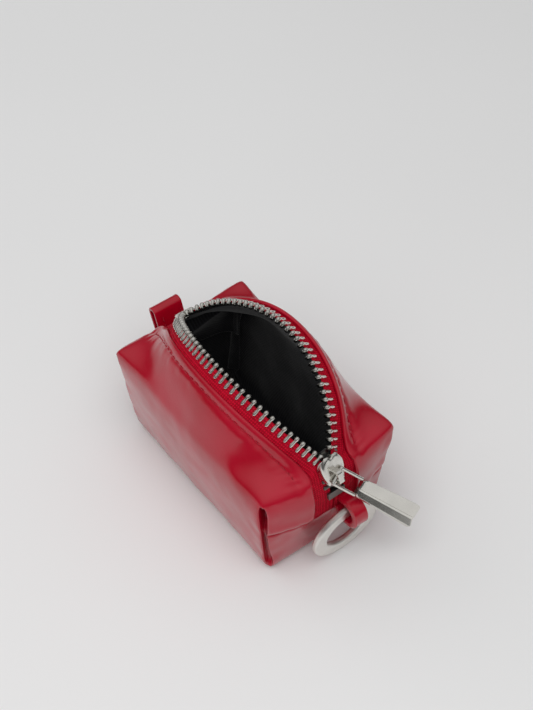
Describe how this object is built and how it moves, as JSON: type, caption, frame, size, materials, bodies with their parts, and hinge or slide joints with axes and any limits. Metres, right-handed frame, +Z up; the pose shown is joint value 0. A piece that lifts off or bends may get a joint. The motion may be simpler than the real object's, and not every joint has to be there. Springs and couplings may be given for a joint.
{
  "type": "zip-top pouch",
  "caption": "Small boxy zip-top pouch in glossy leather, open mouth with metal zip, slider and pull, hanging ring in a leather loop and a folded grip tab.",
  "frame": {"origin": "centre of the base, on the surface it stands on", "axes": "+X along the zip towards the end with the slider and the ring, +Z up, -Y the left side"},
  "size_m": [0.1114, 0.053, 0.0631],
  "materials": {
    "patent_leather": "high gloss patent",
    "lining_cloth": "fine twill",
    "zip_tape": "woven tape",
    "red_thread": "twisted thread",
    "nickel_metal": "polished nickel"
  },
  "bodies": {
    "pouch": {"base_panel": "patent_leather", "bottom_stop": "nickel_metal", "closed_teeth": "nickel_metal", "corner_seam_thread": "red_thread", "left_side_panel": "patent_leather", "left_top_flap": "patent_leather", "lining_flap_left": "lining_cloth", "lining_flap_right": "lining_cloth", "lining_floor": "lining_cloth", "lining_left": "lining_cloth", "lining_right": "lining_cloth", "lining_ring_end": "lining_cloth", "lining_tab_end": "lining_cloth", "right_side_panel": "patent_leather", "right_top_flap": "patent_leather", "ring_end_lower_panel": "patent_leather", "ring_end_upper_left": "patent_leather", "ring_end_upper_right": "patent_leather", "tab_end_lower_panel": "patent_leather", "tab_end_upper_left": "patent_leather", "tab_end_upper_right": "patent_leather", "top_stops": "nickel_metal", "zip_tape_ring_end": "zip_tape", "zip_tape_tab_end": "zip_tape"},
    "left_lip": {"zip_tape_left": "zip_tape", "zip_teeth_left": "nickel_metal", "folded_edge_left": "patent_leather", "topstitch_left": "red_thread"},
    "right_lip": {"zip_tape_right": "zip_tape", "zip_teeth_right": "nickel_metal", "folded_edge_right": "patent_leather", "topstitch_right": "red_thread"},
    "slider": {"slider_top_plate": "nickel_metal", "slider_bottom_plate": "nickel_metal", "slider_post": "nickel_metal", "slider_crown": "nickel_metal"},
    "pull": {"pull_wire": "nickel_metal", "pull_bar": "nickel_metal"},
    "ring_loop": {"ring_loop": "patent_leather"},
    "ring": {"ring": "nickel_metal"},
    "grip_tab": {"grip_tab": "patent_leather", "grip_tab_stitches": "red_thread"}
  },
  "joints": [
    {"name": "slider_travel", "type": "hinge", "parent": "pouch", "child": "slider", "pos_m": [0.001, 0, 0.0232], "axis": [0, -1, 0], "range_deg": [0, 119], "deforming": ["zip_tape_left", "zip_tape_right", "zip_teeth_left", "zip_teeth_right", "zip_tape_ring_end", "closed_teeth"]},
    {"name": "left_lip_fold", "type": "hinge", "parent": "pouch", "child": "left_lip", "pos_m": [0, 0, 0.0438], "axis": [-1, 0, 0], "range_deg": [0, 34.6], "deforming": ["left_top_flap", "lining_flap_left", "zip_tape_left", "zip_teeth_left"]},
    {"name": "right_lip_fold", "type": "hinge", "parent": "pouch", "child": "right_lip", "pos_m": [0, 0, 0.0438], "axis": [1, 0, 0], "range_deg": [0, 34.6], "deforming": ["right_top_flap", "lining_flap_right", "zip_tape_right", "zip_teeth_right"]},
    {"name": "pull_lift", "type": "hinge", "parent": "slider", "child": "pull", "pos_m": [0.0435, 0, 0.04117], "axis": [0.2581, -0.7986, -0.5436], "range_deg": [0, 150]},
    {"name": "ring_loop_flex", "type": "hinge", "parent": "pouch", "child": "ring_loop", "pos_m": [0.0424, 0.0036, 0.0235], "axis": [0, -1, 0], "range_deg": [-3, 7], "stiffness_Nm_per_rad": 0.01},
    {"name": "ring_swing", "type": "hinge", "parent": "ring_loop", "child": "ring", "pos_m": [0.0464, 0.0036, 0.0235], "axis": [0, -1, 0], "range_deg": [-3, 45]},
    {"name": "grip_tab_flex", "type": "hinge", "parent": "pouch", "child": "grip_tab", "pos_m": [-0.0425, 0, 0.0225], "axis": [0, -1, 0], "range_deg": [-10, 50], "stiffness_Nm_per_rad": 0.01}
  ],
  "couplings": [
    {"joint": "left_lip_fold", "follows": "slider_travel", "ratio": 0.2907},
    {"joint": "right_lip_fold", "follows": "slider_travel", "ratio": 0.2907}
  ]
}
